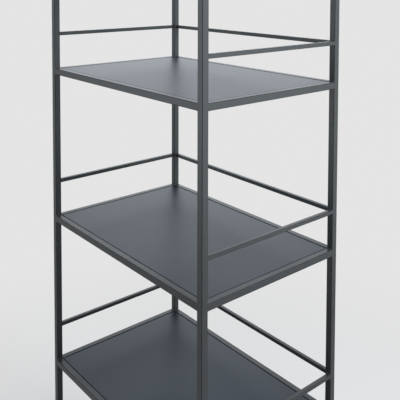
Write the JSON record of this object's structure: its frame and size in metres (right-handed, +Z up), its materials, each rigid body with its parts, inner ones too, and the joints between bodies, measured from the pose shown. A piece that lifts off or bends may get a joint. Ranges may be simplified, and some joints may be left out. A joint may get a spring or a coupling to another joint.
{
  "type": "display shelf",
  "caption": "Open steel display shelf: slim square posts, inset sheet panels in tube rims, guard rails on the back and both sides, open front, levelling feet.",
  "frame": {"origin": "on the floor, under the middle of the shelf", "axes": "+X to the right seen from the open front, +Y to the back, +Z up"},
  "size_m": [0.6, 0.4, 1.75],
  "materials": {
    "frame_coat": "anthracite powder coat, fine grain, satin",
    "panel_coat": "anthracite powder coat, smooth satin",
    "cap_plastic": "moulded, fine grain, anthracite",
    "insert_plastic": "moulded, black",
    "foot_plastic": "moulded, black, fine grain",
    "stud_zinc": "bright zinc plated thread"
  },
  "bodies": {
    "frame": {"front_left_post": "frame_coat", "front_right_post": "frame_coat", "back_left_post": "frame_coat", "back_right_post": "frame_coat", "shelf_1_front_rim": "frame_coat", "shelf_1_back_rim": "frame_coat", "shelf_1_left_rim": "frame_coat", "shelf_1_right_rim": "frame_coat", "shelf_1_left_rail": "frame_coat", "shelf_1_right_rail": "frame_coat", "shelf_1_back_rail": "frame_coat", "shelf_1_panel": "panel_coat", "shelf_1_panel_tabs": "frame_coat", "shelf_2_front_rim": "frame_coat", "shelf_2_back_rim": "frame_coat", "shelf_2_left_rim": "frame_coat", "shelf_2_right_rim": "frame_coat", "shelf_2_left_rail": "frame_coat", "shelf_2_right_rail": "frame_coat", "shelf_2_back_rail": "frame_coat", "shelf_2_panel": "panel_coat", "shelf_2_panel_tabs": "frame_coat", "shelf_3_front_rim": "frame_coat", "shelf_3_back_rim": "frame_coat", "shelf_3_left_rim": "frame_coat", "shelf_3_right_rim": "frame_coat", "shelf_3_left_rail": "frame_coat", "shelf_3_right_rail": "frame_coat", "shelf_3_back_rail": "frame_coat", "shelf_3_panel": "panel_coat", "shelf_3_panel_tabs": "frame_coat", "shelf_4_front_rim": "frame_coat", "shelf_4_back_rim": "frame_coat", "shelf_4_left_rim": "frame_coat", "shelf_4_right_rim": "frame_coat", "shelf_4_left_rail": "frame_coat", "shelf_4_right_rail": "frame_coat", "shelf_4_back_rail": "frame_coat", "shelf_4_panel": "panel_coat", "shelf_4_panel_tabs": "frame_coat", "shelf_5_front_rim": "frame_coat", "shelf_5_back_rim": "frame_coat", "shelf_5_left_rim": "frame_coat", "shelf_5_right_rim": "frame_coat", "shelf_5_left_rail": "frame_coat", "shelf_5_right_rail": "frame_coat", "shelf_5_back_rail": "frame_coat", "shelf_5_panel": "panel_coat", "shelf_5_panel_tabs": "frame_coat", "post_end_caps": "cap_plastic", "foot_inserts": "insert_plastic"},
    "front_left_foot": {"front_left_foot_base": "foot_plastic", "front_left_foot_stud": "stud_zinc"},
    "front_right_foot": {"front_right_foot_base": "foot_plastic", "front_right_foot_stud": "stud_zinc"},
    "back_left_foot": {"back_left_foot_base": "foot_plastic", "back_left_foot_stud": "stud_zinc"},
    "back_right_foot": {"back_right_foot_base": "foot_plastic", "back_right_foot_stud": "stud_zinc"}
  },
  "joints": [
    {"name": "front_left_foot_level", "type": "slide", "parent": "frame", "child": "front_left_foot", "axis": [0, 0, -1], "range_m": [-0.003, 0.009]},
    {"name": "front_right_foot_level", "type": "slide", "parent": "frame", "child": "front_right_foot", "axis": [0, 0, -1], "range_m": [-0.003, 0.009]},
    {"name": "back_left_foot_level", "type": "slide", "parent": "frame", "child": "back_left_foot", "axis": [0, 0, -1], "range_m": [-0.003, 0.009]},
    {"name": "back_right_foot_level", "type": "slide", "parent": "frame", "child": "back_right_foot", "axis": [0, 0, -1], "range_m": [-0.003, 0.009]}
  ]
}
